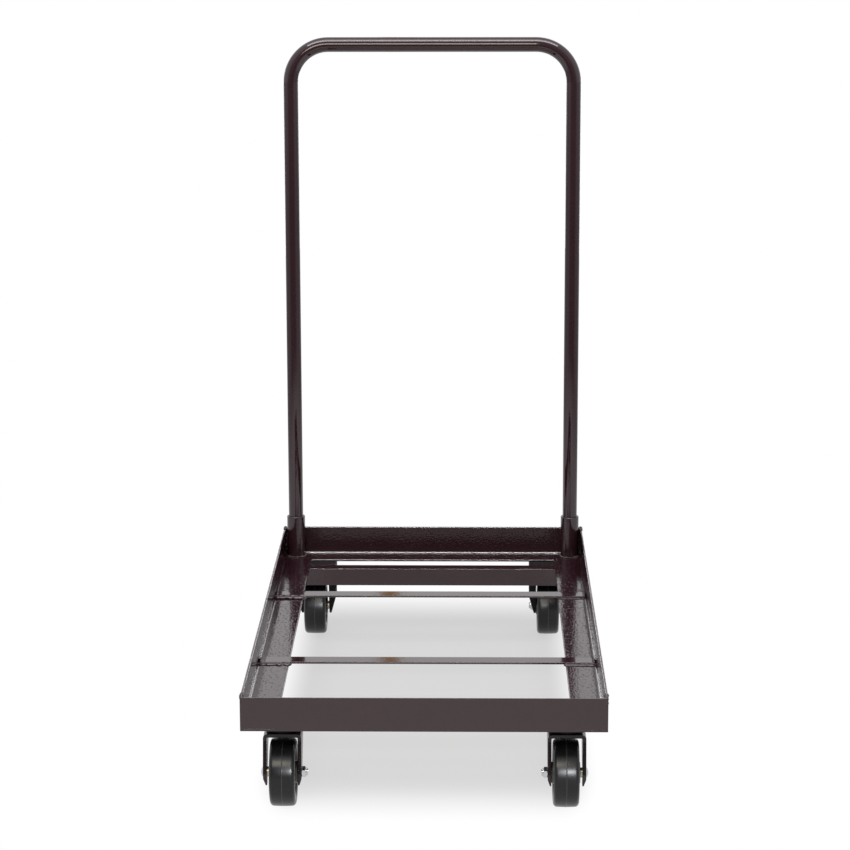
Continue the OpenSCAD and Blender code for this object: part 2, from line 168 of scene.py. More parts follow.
def makeToneGroup(setup):
    group, source, target = newGroup(
        "toneDrift",
        [("Tone", "NodeSocketColor", (0.5, 0.5, 0.5, 1)),
         ("Drift Tone", "NodeSocketColor", (0.5, 0.5, 0.5, 1)),
         ("Patch", "NodeSocketFloat", 25.0), ("Fleck", "NodeSocketFloat", 600.0),
         ("Low Rough", "NodeSocketFloat", 0.2), ("High Rough", "NodeSocketFloat", 0.3)],
        [("Color", "NodeSocketColor"), ("Roughness", "NodeSocketFloat")])
    place = addNode(group, "ShaderNodeTexCoord")
    patch = addNode(group, "ShaderNodeTexNoise", Detail=3.0, Roughness=0.55)
    fleck = addNode(group, "ShaderNodeTexNoise", Detail=1.0, Roughness=0.5)
    link = group.links.new
    link(place.outputs["Object"], patch.inputs["Vector"])
    link(place.outputs["Object"], fleck.inputs["Vector"])
    link(source.outputs["Patch"], patch.inputs["Scale"])
    link(source.outputs["Fleck"], fleck.inputs["Scale"])
    blend = addNode(group, "ShaderNodeMath", operation="MULTIPLY_ADD")
    link(fleck.outputs["Fac"], blend.inputs[0])
    blend.inputs[1].default_value = setup["fleckShare"]
    link(patch.outputs["Fac"], blend.inputs[2])
    spread = addRange(group, *setup["spread"])
    link(blend.outputs[0], spread.inputs["Value"])
    tone = addNode(group, "ShaderNodeMix", data_type="RGBA")
    link(spread.outputs[0], tone.inputs[0])
    link(source.outputs["Tone"], tone.inputs[6])
    link(source.outputs["Drift Tone"], tone.inputs[7])
    link(tone.outputs[2], target.inputs["Color"])
    rough = mapValue(group, spread.outputs[0], source.outputs["Low Rough"], source.outputs["High Rough"])
    link(rough.outputs[0], target.inputs["Roughness"])
    return group


peelGroup = makePeelGroup(peelSetup)
toneGroup = makeToneGroup(driftSetup)


# one finish: tone and roughness drift over the surface, with a fine bump
def makeFinish(name, setup):
    mat = bpy.data.materials.new(name)
    mat.use_nodes = True
    tree = mat.node_tree
    link = tree.links.new
    shader = tree.nodes["Principled BSDF"]
    shader.inputs["Metallic"].default_value = setup.get("metal", 0.0)
    shader.inputs["IOR"].default_value = setup.get("ior", 1.5)
    tone = addNode(tree, "ShaderNodeGroup")
    tone.node_tree = toneGroup
    tone.inputs["Tone"].default_value = (*setup["tone"], 1)
    tone.inputs["Drift Tone"].default_value = (*setup["driftTone"], 1)
    tone.inputs["Patch"].default_value = setup["patch"]
    tone.inputs["Fleck"].default_value = setup["fleck"]
    tone.inputs["Low Rough"].default_value = setup["rough"][0]
    tone.inputs["High Rough"].default_value = setup["rough"][1]
    color = tone.outputs["Color"]
    # painted highlight: a lighter tone mixed in by a mesh attribute, on the wheels' seam, rim lip and hub
    # edge
    if "paintedGlintTone" in setup:
        edge = addNode(tree, "ShaderNodeAttribute", attribute_name="scuff")
        glinted = addNode(tree, "ShaderNodeMix", data_type="RGBA")
        link(edge.outputs["Fac"], glinted.inputs[0])
        link(color, glinted.inputs[6])
        glinted.inputs[7].default_value = (*setup["paintedGlintTone"], 1)
        color = glinted.outputs[2]
    link(color, shader.inputs["Base Color"])
    link(tone.outputs["Roughness"], shader.inputs["Roughness"])
    peel = addNode(tree, "ShaderNodeGroup")
    peel.node_tree = peelGroup
    peel.inputs["Grain"].default_value = setup["grain"]
    peel.inputs["Sag"].default_value = setup["sag"]
    peel.inputs["Sag Share"].default_value = setup["sagShare"]
    peel.inputs["Dots"].default_value = setup.get("dots", 0.0)
    peel.inputs["Stretch"].default_value = setup.get("stretch", (1.0, 1.0, 1.0))
    bump = addNode(tree, "ShaderNodeBump", Strength=1.0, Distance=setup["depth"])
    link(peel.outputs["Height"], bump.inputs["Height"])
    if "edgeRound" in setup:
        rounded = addNode(tree, "ShaderNodeBevel", samples=6, Radius=setup["edgeRound"])
        link(rounded.outputs["Normal"], bump.inputs["Normal"])
    link(bump.outputs["Normal"], shader.inputs["Normal"])
    return mat


coatSetup = {
    "tone": (0.0262, 0.0089, 0.0131), "driftTone": (0.0315, 0.0110, 0.0157), "ior": 1.55,
    "patch": 22.0, "fleck": 700.0, "rough": (0.06, 0.11),
    "grain": 290.0, "sag": 60.0, "sagShare": 0.25, "depth": 0.00036, "edgeRound": 0.0013,
}
railSetup = {   # rolled along y
    **coatSetup, "grain": 300.0, "sagShare": 0.15, "depth": 0.00016,
    "dots": 2.0, "stretch": (1.0, 0.5, 1.0),
}
rearSetup = {**coatSetup, "ior": 1.42, "depth": 0.00042, "dots": 0.4}   # the rear rail looks duller
smoothSetup = {   # tube
    **coatSetup, "rough": (0.04, 0.07), "grain": 260.0, "sag": 20.0, "depth": 0.00003,
}
strapSetup = {**smoothSetup, "ior": 1.68}   # the flat bars look glossier
# painted shade: the forks get a darker copy of the brown coat, standing in for the shade they sit in
shadedForkSetup = {
    **coatSetup, "tone": (0.014, 0.0055, 0.0072), "driftTone": (0.018, 0.0070, 0.0090),
    "ior": 1.42, "rough": (0.2, 0.3),
}
blackSetup = {
    "tone": (0.006, 0.0056, 0.0060), "driftTone": (0.010, 0.0092, 0.0097), "ior": 1.2,
    "patch": 30.0, "fleck": 900.0, "rough": (0.42, 0.55),
    "grain": 700.0, "sag": 90.0, "sagShare": 0.3, "depth": 0.00005,
}
rubberSetup = {
    "tone": (0.005, 0.005, 0.0064), "driftTone": (0.008, 0.0078, 0.0096), "ior": 1.39,
    "paintedGlintTone": (0.060, 0.058, 0.064),   # painted highlight: a lighter tone on the mould seam, the rim lip and the hub's edge
    "patch": 45.0, "fleck": 1400.0, "rough": (0.24, 0.34),
    "grain": 900.0, "sag": 120.0, "sagShare": 0.5, "depth": 0.00003,
}
zincSetup = {
    "tone": (0.46, 0.48, 0.51), "driftTone": (0.60, 0.61, 0.62), "metal": 1.0,
    "patch": 260.0, "fleck": 1800.0, "rough": (0.16, 0.27),
    "grain": 1600.0, "sag": 300.0, "sagShare": 0.4, "depth": 0.00001,
}
yellowSetup = {
    "tone": (0.58, 0.55, 0.42), "driftTone": (0.64, 0.59, 0.47), "metal": 1.0,
    "patch": 180.0, "fleck": 1500.0, "rough": (0.36, 0.48),
    "grain": 1600.0, "sag": 300.0, "sagShare": 0.4, "depth": 0.00003,
}
nylonSetup = {
    "tone": (0.66, 0.64, 0.57), "driftTone": (0.72, 0.70, 0.64),
    "patch": 120.0, "fleck": 1500.0, "rough": (0.4, 0.5),
    "grain": 1200.0, "sag": 200.0, "sagShare": 0.4, "depth": 0.00003,
}
finishes = {
    "brown_coat": makeFinish("brownPowderCoat", coatSetup),
    "black_coat": makeFinish("blackStampedSteel", blackSetup),
    "wheel_rubber": makeFinish("hardRubber", rubberSetup),
    "zinc": makeFinish("brightZinc", zincSetup),
    "yellow_zinc": makeFinish("yellowZinc", yellowSetup),
    "bearing_nylon": makeFinish("nylonBearing", nylonSetup),
}
for part in frame["record"]["subparts"]:
    mesh = nodes[part["node"]].data
    mesh.materials.clear()
    mesh.materials.append(finishes[part["material_slot"]])
railCoat = makeFinish("brownRailCoat", railSetup)
strapCoat = makeFinish("brownStrapCoat", strapSetup)
nodes["push_handle"].data.materials[0] = makeFinish("brownSmoothCoat", smoothSetup)
nodes["rear_rail"].data.materials[0] = makeFinish("brownRearCoat", rearSetup)
for name in ("front_strap", "rear_strap"):
    nodes[name].data.materials[0] = strapCoat
shadedForkCoat = makeFinish("brownForkCoat", shadedForkSetup)
for side in ("left", "right"):
    nodes[f"side_rail_{side}"].data.materials[0] = railCoat
    nodes[f"fork_{side}"].data.materials[0] = shadedForkCoat
print("finishes:", len(bpy.data.materials))


def addPiece(name, mesh, finish, body, replaced=()):
    piece = bpy.data.objects.new(name, mesh)
    scene.collection.objects.link(piece)
    if not mesh.materials:
        mesh.materials.append(finishes[finish])
    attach(piece, body)
    if replaced:
        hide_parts(*replaced)
    return piece


def shadeByAngle(mesh, degrees):
    bm = bmesh.new()
    bm.from_mesh(mesh)
    limit = math.radians(degrees)
    for face in bm.faces:
        face.smooth = True
    for edge in bm.edges:
        if len(edge.link_faces) == 2 and edge.calc_face_angle() > limit:
            edge.smooth = False
    bm.to_mesh(mesh)
    bm.free()


# weld beads, laid as overlapping ripples along the joints of the base
weldSetup = {
    "pitch": 0.0032,        # step from one ripple to the next
    "squeeze": 0.85,        # ripple length against its radius
    "wander": 0.36,         # how much the ripples differ in size
    "cornerRadius": 0.0032, "cornerShift": 0.0010,
    "strapRadius": 0.0085, "thinRadius": 0.0045, "blobRadius": 0.0120, "endRadius": 0.0024,
    "strapFlat": 0.36,      # beads beside the straps lie flat
    "socketRadius": 0.0027, "hiddenRadius": 0.0021,
    "lumpRadius": 0.0036, "topRadius": 0.0040,
    "seed": 7,
    "cornerFoot": 0.004, "cornerHead": 0.003,        # above the deck, below the rail's top
    "lumpInset": 0.0022, "lumpFoot": 0.0075, "lumpHead": 0.0012,
    "topStart": 0.004, "topReach": 0.0200, "topSink": (0.0002, 0.0008),
    "strapInside": 0.002, "strapOutside": 0.001,     # set back at the two ends of a strap's bead
    "strapOut": 0.25,                                # share of the radius beside the strap
    "endGap": 0.0008, "endInset": 0.004, "endRise": 0.002,
    "socketGap": 0.0004, "arcStart": 120, "arcStep": 10.5, "arcPoints": 21,   # degrees round the socket
    "hiddenGap": 0.0003, "hiddenInset": 0.001, "plateInset": 0.009,
}


def makeWeldTree():
    tree = bpy.data.node_groups.new("weldRipples", "GeometryNodeTree")
    tree.interface.new_socket("Path", in_out="INPUT", socket_type="NodeSocketGeometry")
    for label, kind in (("Pitch", "NodeSocketFloat"), ("Squeeze", "NodeSocketFloat"),
                        ("Wander", "NodeSocketFloat"), ("Seed", "NodeSocketInt"),
                        ("Finish", "NodeSocketMaterial")):
        tree.interface.new_socket(label, in_out="INPUT", socket_type=kind)
    tree.interface.new_socket("Beads", in_out="OUTPUT", socket_type="NodeSocketGeometry")
    source, target = tree.nodes.new("NodeGroupInput"), tree.nodes.new("NodeGroupOutput")
    link = tree.links.new
    points = addNode(tree, "GeometryNodeResampleCurve", mode="LENGTH")
    link(source.outputs["Path"], points.inputs["Curve"])
    link(source.outputs["Pitch"], points.inputs["Length"])
    ripple = addNode(tree, "GeometryNodeMeshUVSphere", Segments=10, Rings=6, Radius=1.0)
    smooth = addNode(tree, "GeometryNodeSetShadeSmooth")
    link(ripple.outputs["Mesh"], smooth.inputs["Geometry"])
    tangent = addNode(tree, "GeometryNodeInputTangent")
    turn = addNode(tree, "FunctionNodeAlignRotationToVector", axis="Z")
    link(tangent.outputs[0], turn.inputs["Vector"])
    radius = addNode(tree, "GeometryNodeInputRadius")
    low = addNode(tree, "ShaderNodeMath", operation="SUBTRACT")
    low.inputs[0].default_value = 1.0
    link(source.outputs["Wander"], low.inputs[1])
    vary = addNode(tree, "FunctionNodeRandomValue", data_type="FLOAT")
    vary.inputs[3].default_value = 1.0
    link(low.outputs[0], vary.inputs[2])
    link(source.outputs["Seed"], vary.inputs["Seed"])
    size = addNode(tree, "ShaderNodeMath", operation="MULTIPLY")
    link(radius.outputs[0], size.inputs[0])
    link(vary.outputs[1], size.inputs[1])
    depth = addNode(tree, "ShaderNodeMath", operation="MULTIPLY")
    link(size.outputs[0], depth.inputs[0])
    link(source.outputs["Squeeze"], depth.inputs[1])
    scale = addNode(tree, "ShaderNodeCombineXYZ")
    link(size.outputs[0], scale.inputs["X"])
    link(size.outputs[0], scale.inputs["Y"])
    link(depth.outputs[0], scale.inputs["Z"])
    place = addNode(tree, "GeometryNodeInstanceOnPoints")
    link(points.outputs["Curve"], place.inputs["Points"])
    link(smooth.outputs["Geometry"], place.inputs["Instance"])
    link(turn.outputs["Rotation"], place.inputs["Rotation"])
    link(scale.outputs["Vector"], place.inputs["Scale"])
    real = addNode(tree, "GeometryNodeRealizeInstances")
    link(place.outputs["Instances"], real.inputs["Geometry"])
    finish = addNode(tree, "GeometryNodeSetMaterial")
    link(real.outputs["Geometry"], finish.inputs["Geometry"])
    link(source.outputs["Finish"], finish.inputs["Material"])
    link(finish.outputs["Geometry"], target.inputs["Beads"])
    return tree


def setInput(modifier, label, value):
    for item in modifier.node_group.interface.items_tree:
        if item.item_type == "SOCKET" and item.in_out == "INPUT" and item.name == label:
            modifier[item.identifier] = value


def weldRuns(setup):
    railLow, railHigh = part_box("side_rail_right")
    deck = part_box("front_strap")[0].z
    wall = deck - railLow.z
    shift = setup["cornerShift"]
    runs, strapRuns = [], []
    for sx in (-1, 1):
        for sy in (-1, 1):                                   # upright beads in the four corners
            x, y = sx * (railHigh.x - wall - shift), sy * (railHigh.y - wall - shift)
            foot, head = deck + setup["cornerFoot"], railHigh.z - setup["cornerHead"]
            runs.append(([(x, y, foot), (x, y, head)], setup["cornerRadius"]))
            x, y = sx * (railHigh.x - setup["lumpInset"]), sy * (railHigh.y - setup["lumpInset"])
            foot, head = railHigh.z - setup["lumpFoot"], railHigh.z - setup["lumpHead"]
            runs.append(([(x, y, foot), (x, y, head)], setup["lumpRadius"]))
            near, back = y - sy * setup["topStart"], sy * (railHigh.y - setup["topReach"])
            nearZ, backZ = (railHigh.z - sink for sink in setup["topSink"])   # over the top of the rail
            runs.append(([(x, near, nearZ), (x, back, backZ)], setup["topRadius"]))
        rearBead = "blobRadius" if sx < 0 else "strapRadius"   # the fattest bead is at the left
        for name, main, full in (("front_strap", -1, "strapRadius"), ("rear_strap", sx, rearBead)):
            low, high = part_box(name)
            inner, outer = sx * (railLow.x + setup["strapInside"]), sx * (high.x - setup["strapOutside"])
            for edge, y in ((-1, low.y), (1, high.y)):       # a full bead on one edge, a thin one opposite
                radius = setup[full if edge == main else "thinRadius"]
                out = y + edge * radius * setup["strapOut"]
                rest = deck + max(0.0, radius - wall / setup["strapFlat"])   # none comes through below
                strapRuns.append(([(inner, out, rest), (outer, out, rest)], radius))
            end, rise = sx * (high.x + setup["endGap"]), deck + setup["endRise"]
            inset = setup["endInset"]
            runs.append(([(end, low.y + inset, rise), (end, high.y - inset, rise)], setup["endRadius"]))
        socketLow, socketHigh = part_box("handle_socket_right")
        mid = (socketLow + socketHigh) / 2
        ring = (socketHigh.x - socketLow.x) / 2 + setup["socketGap"]
        arc = []
        for step in range(setup["arcPoints"]):
            angle = math.radians(setup["arcStart"] + step * setup["arcStep"])
            x, y = sx * (mid.x + ring * math.cos(angle)), mid.y + ring * math.sin(angle)
            arc.append((x, y, deck + setup["socketGap"]))
        runs.append((arc, setup["socketRadius"]))
        gap = setup["hiddenGap"]
        z = railLow.z - gap                                  # the rest lie under the flanges
        for name, toward in (("front_cross_angle", 1), ("rear_cross_angle", -1)):
            low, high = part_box(name)
            y = (high.y if toward > 0 else low.y) + toward * gap
            outer = sx * (high.x - setup["hiddenInset"])
            runs.append(([(sx * railLow.x, y, z), (outer, y, z)], setup["hiddenRadius"]))
        for name in ("swivel_plate_right", "rigid_bracket_right"):
            low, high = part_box(name)
            x, inset = sx * (high.x + gap), setup["plateInset"]
            runs.append(([(x, low.y + inset, z), (x, high.y - inset, z)], setup["hiddenRadius"]))
    return runs, strapRuns, deck


def beadMesh(name, runs, setup, tree):
    path = bpy.data.curves.new("weldPaths", "CURVE")
    path.dimensions = "3D"
    for points, radius in runs:
        spline = path.splines.new("POLY")
        spline.points.add(len(points) - 1)
        for point, place in zip(spline.points, points):
            point.co = (*place, 1)
            point.radius = radius
    guide = bpy.data.objects.new("weldPaths", path)
    scene.collection.objects.link(guide)
    modifier = guide.modifiers.new("ripples", "NODES")
    modifier.node_group = tree
    setInput(modifier, "Pitch", setup["pitch"])
    setInput(modifier, "Squeeze", setup["squeeze"])
    setInput(modifier, "Wander", setup["wander"])
    setInput(modifier, "Seed", setup["seed"])
    setInput(modifier, "Finish", finishes["brown_coat"])
    graph = bpy.context.evaluated_depsgraph_get()
    mesh = bpy.data.meshes.new_from_object(guide.evaluated_get(graph))
    mesh.name = name
    bpy.data.objects.remove(guide)
    bpy.data.curves.remove(path)
    return mesh


def buildWelds(setup):
    tree = makeWeldTree()
    runs, strapRuns, deck = weldRuns(setup)
    beads = beadMesh("weldBeads", runs, setup, tree)
    addPiece("weldBeads", beads, "brown_coat", "base",
             ["corner_welds", "cross_welds", "socket_welds", "plate_welds"])
    flat = beadMesh("strapBeads", strapRuns, setup, tree)
    squash = Matrix.Diagonal((1, 1, setup["strapFlat"], 1))
    flat.transform(Matrix.Translation((0, 0, deck)) @ squash @ Matrix.Translation((0, 0, -deck)))
    addPiece("strapBeads", flat, "brown_coat", "base", ["strap_welds"])
    print("weld beads:", len(beads.polygons) + len(flat.polygons), "faces")


buildWelds(weldSetup)


# wheels, turned round their own axle, with a mould seam on the tread
wheelSetup = {
    "steps": 144,
    "seam": 0.00018, "seamHalf": 0.0004, "crown": 0.0004,
    "shoulder": 0.006, "rimIn": 0.034, "webHalf": 0.010,
    # the hub's edge carries a share of painted highlight
    "hubRadius": 0.0165, "bore": 0.010, "ease": 0.0012, "hubGlint": 0.5,
    "hubProud": 0.002,                                       # how far the hub stands past the tyre's side
    "webFoot": [(0.0006, 0.0020), (0.0022, 0.0)],            # out from the hub, up from the web
    "webEnd": [(-0.0030, -0.0004), (-0.0008, 0.0012), (0.0, 0.0030)],   # out from the rim, up from the web
    "lip": [(0.0008, 0.0022, 0.2), (0.0020, 0.0008, 0.7),    # out from the rim, in from the side, share of painted highlight
            (0.0034, 0.0004, 0.2), (0.0050, 0.0001, 0)],
    "sideEnd": 0.0018, "shoulderSteps": 8,
    "seamSpread": [(2.5, 0), (1.0, 0.4)], "seamTop": 0.4,    # shares of the seam's half width, with the share of painted highlight
    "sharpAngle": 50,
}


def wheelProfile(setup, radius, half, hubHalf):
    tread = radius - setup["seam"]
    ease, rim, web, hub = setup["ease"], setup["rimIn"], setup["webHalf"], setup["hubRadius"]
    side = [(setup["bore"], hubHalf, 0), (hub - ease, hubHalf, setup["hubGlint"]),
            (hub, hubHalf - ease, setup["hubGlint"])]
    side += [(hub + out, web + up, 0) for out, up in setup["webFoot"]]
    side += [(rim + out, web + up, 0) for out, up in setup["webEnd"]]
    side += [(rim + out, half - inset, scuff) for out, inset, scuff in setup["lip"]]
    side.append((radius - setup["shoulder"] - setup["sideEnd"], half, 0))
    centre = (tread - setup["crown"] - setup["shoulder"], half - setup["shoulder"])
    for step in range(setup["shoulderSteps"] + 1):
        angle = math.radians(90 * step / setup["shoulderSteps"])
        side.append((centre[0] + setup["shoulder"] * math.sin(angle),
                     centre[1] + setup["shoulder"] * math.cos(angle), 0))
    for share in (0.75, 0.5, 0.25):
        side.append((tread - setup["crown"] * share * share, centre[1] * share, 0))
    side += [(tread, setup["seamHalf"] * share, scuff) for share, scuff in setup["seamSpread"]]
    side.append((radius, setup["seamHalf"] * setup["seamTop"], 1))
    return side + [(r, -x, scuff) for r, x, scuff in reversed(side)]


# joins rings of points, all round and end to end, into one closed skin
def skinRings(name, bm, rings, sharpAngle):
    count = len(rings[0])
    for step, here in enumerate(rings):
        there = rings[(step + 1) % len(rings)]
        for i in range(count):
            j = (i + 1) % count
            bm.faces.new((here[i], here[j], there[j], there[i]))
    bmesh.ops.recalc_face_normals(bm, faces=bm.faces[:])
    mesh = bpy.data.meshes.new(name)
    bm.to_mesh(mesh)
    bm.free()
    shadeByAngle(mesh, sharpAngle)
    return mesh


def turnedMesh(name, profile, centre, setup):
    steps = setup["steps"]
    bm = bmesh.new()
    # per-point share of painted highlight, read by the rubber finish
    paintedGlints = bm.verts.layers.float.new("scuff")
    rings = []
    for step in range(steps):
        angle = 2 * math.pi * step / steps
        ring = []
        for r, x, scuff in profile:
            y, z = centre.y + r * math.cos(angle), centre.z + r * math.sin(angle)
            vert = bm.verts.new((centre.x + x, y, z))
            vert[paintedGlints] = scuff
            ring.append(vert)
        rings.append(ring)
    return skinRings(name, bm, rings, setup["sharpAngle"])


def buildWheels(setup):
    for end in ("front", "rear"):
        for side in ("left", "right"):
            node = f"{end}_wheel_{side}"
            low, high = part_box(node)
            centre = (low + high) / 2
            hubHalf = (high.x - low.x) / 2
            profile = wheelProfile(setup, (high.z - low.z) / 2, hubHalf - setup["hubProud"], hubHalf)
            name = f"{end}Wheel{side.capitalize()}"
            addPiece(name, turnedMesh(name, profile, centre, setup), "wheel_rubber", node, [node])
    print("wheels: 4")


buildWheels(wheelSetup)


# lock nuts with chamfered corners and a rolled collar
nutSetup = {
    "steps": 72, "bore": 0.00475, "hexShare": 0.75,
    "bevel": 0.93, "slope": 0.577,                           # chamfer circle against the flats, tan 30
    "collarRound": 0.0009, "roundShare": 0.3,
    "sharpAngle": 24,
}


def nutMesh(name, setup, low, high, outward):
    centre = (low + high) / 2
    flat = (high.y - low.y) / 2
    length = high.x - low.x
    hexHeight = length * setup["hexShare"]
    ringRadius = flat * setup["bevel"]
    collar = (setup["bore"] + flat) / 2
    base = low.x if outward > 0 else high.x
    rows = []
    for step in range(setup["steps"]):
        angle = 2 * math.pi * step / setup["steps"]
        fromFlat = (angle + math.pi / 6) % (math.pi / 3) - math.pi / 6
        corner = flat / math.cos(fromFlat)
        drop = max(0.0, corner - ringRadius) * setup["slope"]
        soft = setup["collarRound"]
        eased = soft * setup["roundShare"]
        row = [(setup["bore"], 0.0), (ringRadius, 0.0), (corner, drop), (corner, hexHeight - drop),
               (ringRadius, hexHeight), (collar, hexHeight), (collar, length - soft),
               (collar - eased, length - eased), (collar - soft, length), (setup["bore"], length)]
        rows.append([(base + outward * x, centre.y + r * math.cos(angle), centre.z + r * math.sin(angle))
                     for r, x in row])
    bm = bmesh.new()
    rings = [[bm.verts.new(p) for p in row] for row in rows]
    return skinRings(name, bm, rings, setup["sharpAngle"])


def buildNuts(setup):
    for end in ("front", "rear"):
        for side in ("left", "right"):
            node = f"{end}_nut_{side}"
            low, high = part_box(node)
            wheelLow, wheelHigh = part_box(f"{end}_wheel_{side}")
            outward = 1 if low.x + high.x > wheelLow.x + wheelHigh.x else -1
            name = f"{end}LockNut{side.capitalize()}"
            body = f"swivel_{side}" if end == "front" else "base"
            addPiece(name, nutMesh(name, setup, low, high, outward), "zinc", body, [node])
    print("lock nuts: 4")


buildNuts(nutSetup)


# floor, light and background
floorSetup = {
    "radius": 2.6, "segments": 96, "tone": 0.79, "rough": 0.7, "gloss": 0.1, "drop": 0.0003,
    "fade": (1.1, 2.3),                                   # melts into the backdrop between these radii
    "shade": (0.195, 0.41), "shadeMiddle": (0.0, 0.10),   # where the painted shadow shows, under the base
    "melt": (0.07, 0.22),                                 # it turns into white over this width
    "paintedShadowTone": 0.69, "paintedShadowShare": 0.85,                  # painted shadow: a flat grey seen by camera and glossy rays, evening out the real shadow's stripes
}
worldSetup = {
    "ambient": 0.36, "backdrop": 1.0, "darkSide": 0.30, "lowSide": 0.50, "tint": (0.985, 0.98, 1.0),
    "roomTurn": (-0.92, -0.45),                           # dark behind the camera, pale beyond
    "underTurn": (-0.15, 0.0),                            # dim past the floor's end
    "postAt": -0.0298, "postHalf": 0.0032,                # amber post far behind, seen in the straps
    "postTone": (0.50, 0.25, 0.05),
}
lampSetup = {
    "overheadBank": {
        "place": (0.0, -0.25, 3.04), "aim": (0.0, -0.25, 0.0), "size": (3.2, 1.5),
        "watts": 48, "tint": (0.97, 0.97, 1.0),
    },
    "keyBox": {
        "place": (-0.35, -2.1, 1.72), "aim": (0.0, -0.2, 0.4), "size": (1.3, 0.75),
        "watts": 22, "tint": (1.0, 0.93, 0.80),
    },
    "ceilingStrip": {
        "place": (0.0, -0.45, 3.02), "aim": (0.0, -0.45, 0.0), "size": (3.2, 0.3),
        "watts": 30, "tint": (1.0, 1.0, 1.0), "glintOnly": True,
    },
    "edgeStripLeft": {   # this one and the next line the rails' edges
        "place": (-0.96, 4.0, 0.42), "aim": (0.2, 0.0, 0.15), "size": (0.7, 0.6),
        "watts": 4.5, "tint": (1.0, 1.0, 1.0), "glintOnly": True,
    },
    "edgeStripRight": {
        "place": (0.96, 4.0, 0.42), "aim": (-0.2, 0.0, 0.15), "size": (0.7, 0.6),
        "watts": 4.5, "tint": (1.0, 1.0, 1.0), "glintOnly": True,
    },
    "wheelFlash": {
        "place": (0.55, -4.2, 1.42), "aim": (0.0, -0.4, 0.1), "size": (0.35, 0.35),
        "watts": 120, "tint": (0.94, 0.97, 1.0), "glintOnly": True, "onlyOn": ("Wheel",),
    },
    "rearGlint": {
        "place": (0.0, -0.45, 3.0), "aim": (0.0, -0.45, 0.0), "size": (3.2, 0.5),
        "watts": 420, "tint": (1.0, 1.0, 1.0), "glintOnly": True,
        "onlyOn": ("rear_rail", "rear_cross_angle"),
    },
}


def addFloor(setup):
    bm = bmesh.new()
    bmesh.ops.create_circle(bm, cap_ends=True, segments=setup["segments"], radius=setup["radius"])
    mesh = bpy.data.meshes.new("floor")
    bm.to_mesh(mesh)
    bm.free()
    mesh.transform(Matrix.Translation((0, 0, -setup["drop"])))
    floor = bpy.data.objects.new("floor", mesh)
    scene.collection.objects.link(floor)
    mat = bpy.data.materials.new("paleFloor")
    mat.use_nodes = True
    tree = mat.node_tree
    link = tree.links.new
    shader = tree.nodes["Principled BSDF"]
    shader.inputs["Base Color"].default_value = (setup["tone"], setup["tone"], setup["tone"], 1)
    shader.inputs["Roughness"].default_value = setup["rough"]
    shader.inputs["Specular IOR Level"].default_value = setup["gloss"]
    place = addNode(tree, "ShaderNodeTexCoord")
    away = addNode(tree, "ShaderNodeVectorMath", operation="LENGTH")
    link(place.outputs["Object"], away.inputs[0])
    fade = addRange(tree, *setup["fade"], 1.0, 0.0, "SMOOTHSTEP")
    link(away.outputs["Value"], fade.inputs["Value"])
    link(fade.outputs[0], shader.inputs["Alpha"])
    shift = addNode(tree, "ShaderNodeVectorMath", operation="SUBTRACT")
    link(place.outputs["Object"], shift.inputs[0])
    shift.inputs[1].default_value = (*setup["shadeMiddle"], 0)
    span = addNode(tree, "ShaderNodeVectorMath", operation="ABSOLUTE")
    link(shift.outputs[0], span.inputs[0])
    split = addNode(tree, "ShaderNodeSeparateXYZ")
    link(span.outputs[0], split.inputs[0])
    past = addNode(tree, "ShaderNodeCombineXYZ")
    for axis, start, width in zip("XY", setup["shade"], setup["melt"]):
        edge = addRange(tree, start, start + width)
        link(split.outputs[axis], edge.inputs["Value"])
        link(edge.outputs[0], past.inputs[axis])
    far = addNode(tree, "ShaderNodeVectorMath", operation="LENGTH")   # rounds the painted shadow's corners
    link(past.outputs[0], far.inputs[0])
    outside = addNode(tree, "ShaderNodeMapRange", interpolation_type="SMOOTHSTEP")
    link(far.outputs["Value"], outside.inputs["Value"])
    ray = addNode(tree, "ShaderNodeLightPath")
    seen = addNode(tree, "ShaderNodeMath", operation="MAXIMUM")
    link(ray.outputs["Is Camera Ray"], seen.inputs[0])
    link(ray.outputs["Is Glossy Ray"], seen.inputs[1])
    clear = addNode(tree, "ShaderNodeMath", operation="MAXIMUM")
    link(seen.outputs[0], clear.inputs[0])
    link(ray.outputs["Is Transmission Ray"], clear.inputs[1])
    # painted shadow: under the base, camera and glossy rays see mostly a flat grey glow, and white beyond
    # it
    share = addNode(tree, "ShaderNodeMath", operation="MULTIPLY")
    link(mapValue(tree, outside.outputs[0], setup["paintedShadowShare"], 1.0).outputs[0], share.inputs[0])
    link(clear.outputs[0], share.inputs[1])
    shadowAndWhiteGlow = addNode(tree, "ShaderNodeEmission")
    link(mapValue(tree, outside.outputs[0], setup["paintedShadowTone"], 1.0).outputs[0], shadowAndWhiteGlow.inputs["Strength"])
    shadowAndWhiteMix = addNode(tree, "ShaderNodeMixShader")
    link(fade.outputs[0], shadowAndWhiteMix.inputs[0])
    link(addNode(tree, "ShaderNodeBsdfTransparent").outputs[0], shadowAndWhiteMix.inputs[1])
    link(shadowAndWhiteGlow.outputs[0], shadowAndWhiteMix.inputs[2])
    both = addNode(tree, "ShaderNodeMixShader")
    link(share.outputs[0], both.inputs[0])
    link(shader.outputs[0], both.inputs[1])
    link(shadowAndWhiteMix.outputs[0], both.inputs[2])
    link(both.outputs[0], tree.nodes["Material Output"].inputs["Surface"])
    mesh.materials.append(mat)


